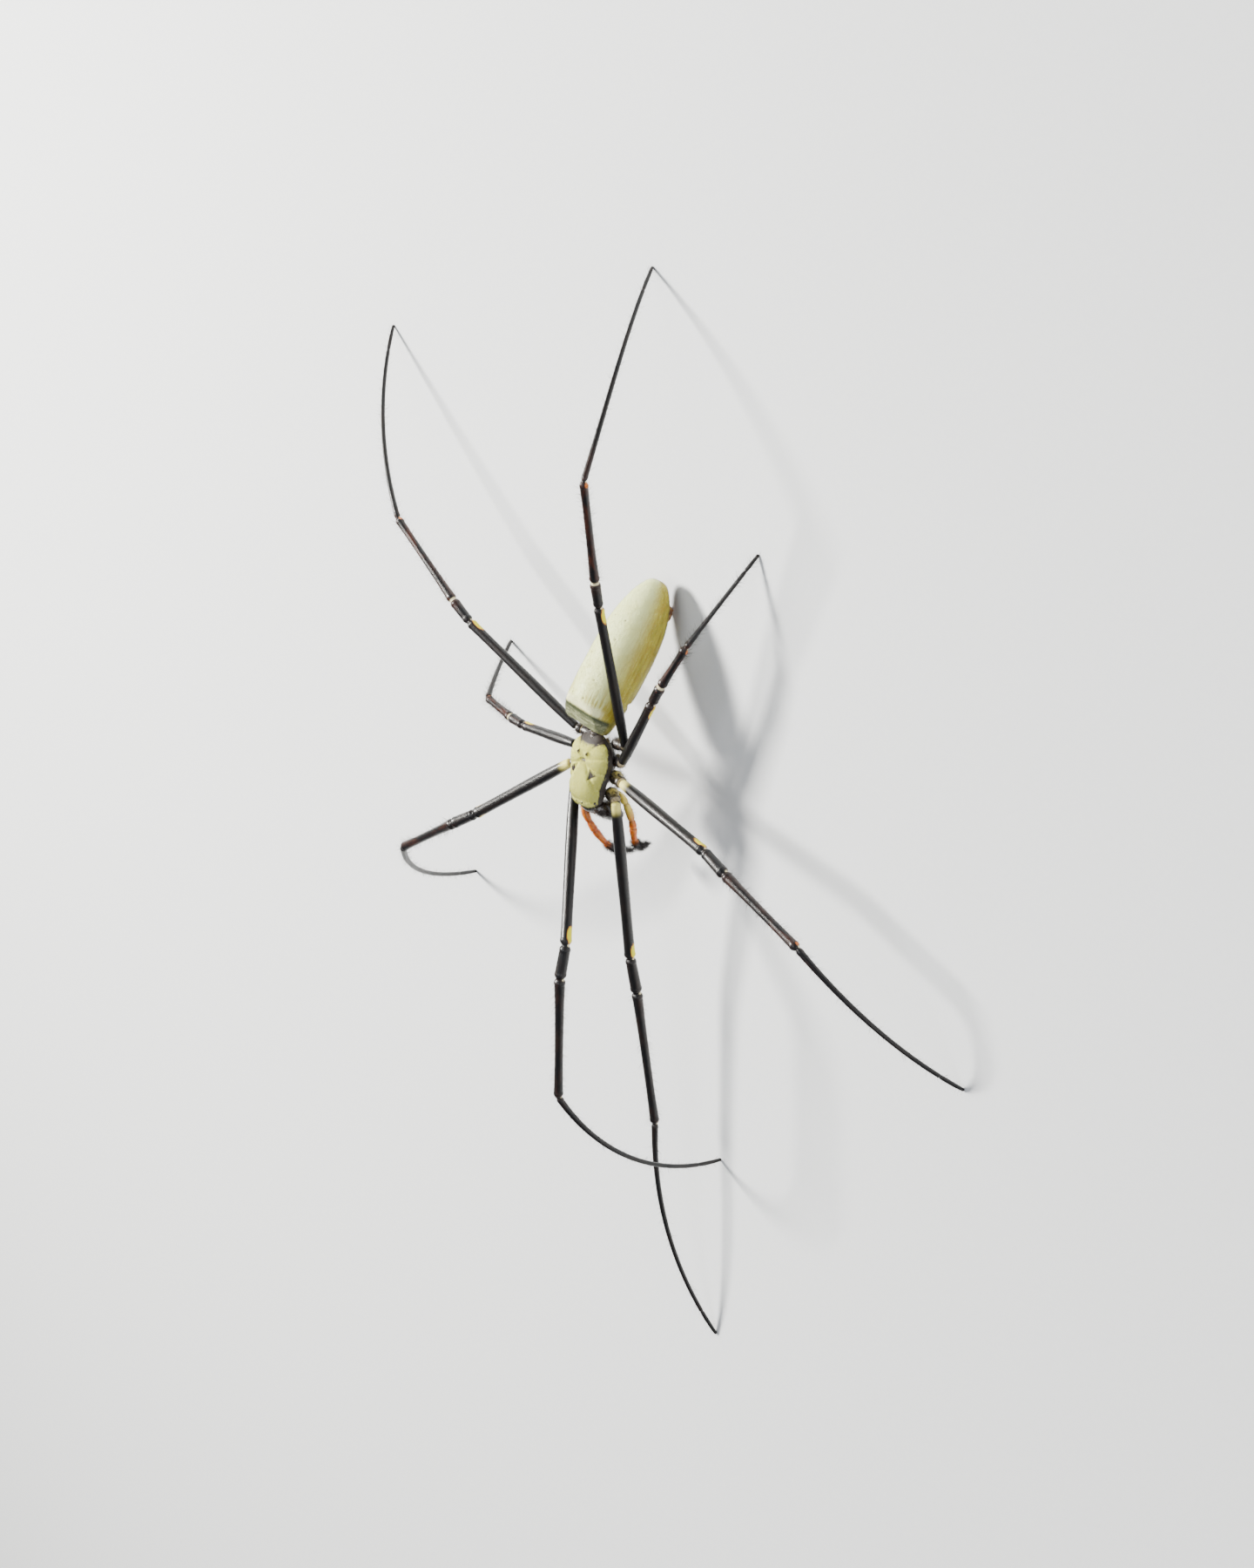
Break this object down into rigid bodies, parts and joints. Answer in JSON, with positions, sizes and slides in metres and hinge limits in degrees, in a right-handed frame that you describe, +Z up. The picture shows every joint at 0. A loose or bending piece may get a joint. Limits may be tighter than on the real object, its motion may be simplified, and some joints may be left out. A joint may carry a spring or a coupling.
{
  "type": "golden silk orb weaver",
  "caption": "Still life-size model of a golden silk orb weaver spider: long pale abdomen, golden carapace and long thin black legs, standing on its toes.",
  "frame": {"origin": "middle of the model's box, on the plane that the eight feet stand on", "axes": "+Z up from the floor; the head looks toward -Y; the animal's left side is +X"},
  "size_m": [0.1246, 0.1772, 0.0292],
  "materials": {
    "shield": "black cuticle under short golden hair",
    "underside": "dark cuticle, softly glossy",
    "abdomen": "cream skin with olive and golden brown streaks, soft sheen",
    "spinnerets": "brown, short hairs",
    "jaw": "glossy black cuticle",
    "palp": "orange red cuticle with dark tips",
    "leg": "black cuticle, satin, pale rings and yellow spots at the joints"
  },
  "bodies": {
    "root": {"carapace": "shield", "sternum": "underside", "pedicel": "underside", "abdomen": "abdomen", "spinnerets": "spinnerets", "left_chelicera": "jaw", "left_palp": "palp", "left_leg_1_coxa": "leg", "left_leg_1_femur": "leg", "left_leg_1_patella": "leg", "left_leg_1_tibia": "leg", "left_leg_1_metatarsus": "leg", "left_leg_1_tarsus": "leg", "left_leg_2_coxa": "leg", "left_leg_2_femur": "leg", "left_leg_2_patella": "leg", "left_leg_2_tibia": "leg", "left_leg_2_metatarsus": "leg", "left_leg_2_tarsus": "leg", "left_leg_3_coxa": "leg", "left_leg_3_femur": "leg", "left_leg_3_patella": "leg", "left_leg_3_tibia": "leg", "left_leg_3_metatarsus": "leg", "left_leg_3_tarsus": "leg", "left_leg_4_coxa": "leg", "left_leg_4_femur": "leg", "left_leg_4_patella": "leg", "left_leg_4_tibia": "leg", "left_leg_4_metatarsus": "leg", "left_leg_4_tarsus": "leg", "right_chelicera": "jaw", "right_palp": "palp", "right_leg_1_coxa": "leg", "right_leg_1_femur": "leg", "right_leg_1_patella": "leg", "right_leg_1_tibia": "leg", "right_leg_1_metatarsus": "leg", "right_leg_1_tarsus": "leg", "right_leg_2_coxa": "leg", "right_leg_2_femur": "leg", "right_leg_2_patella": "leg", "right_leg_2_tibia": "leg", "right_leg_2_metatarsus": "leg", "right_leg_2_tarsus": "leg", "right_leg_3_coxa": "leg", "right_leg_3_femur": "leg", "right_leg_3_patella": "leg", "right_leg_3_tibia": "leg", "right_leg_3_metatarsus": "leg", "right_leg_3_tarsus": "leg", "right_leg_4_coxa": "leg", "right_leg_4_femur": "leg", "right_leg_4_patella": "leg", "right_leg_4_tibia": "leg", "right_leg_4_metatarsus": "leg", "right_leg_4_tarsus": "leg"}
  },
  "joints": []
}
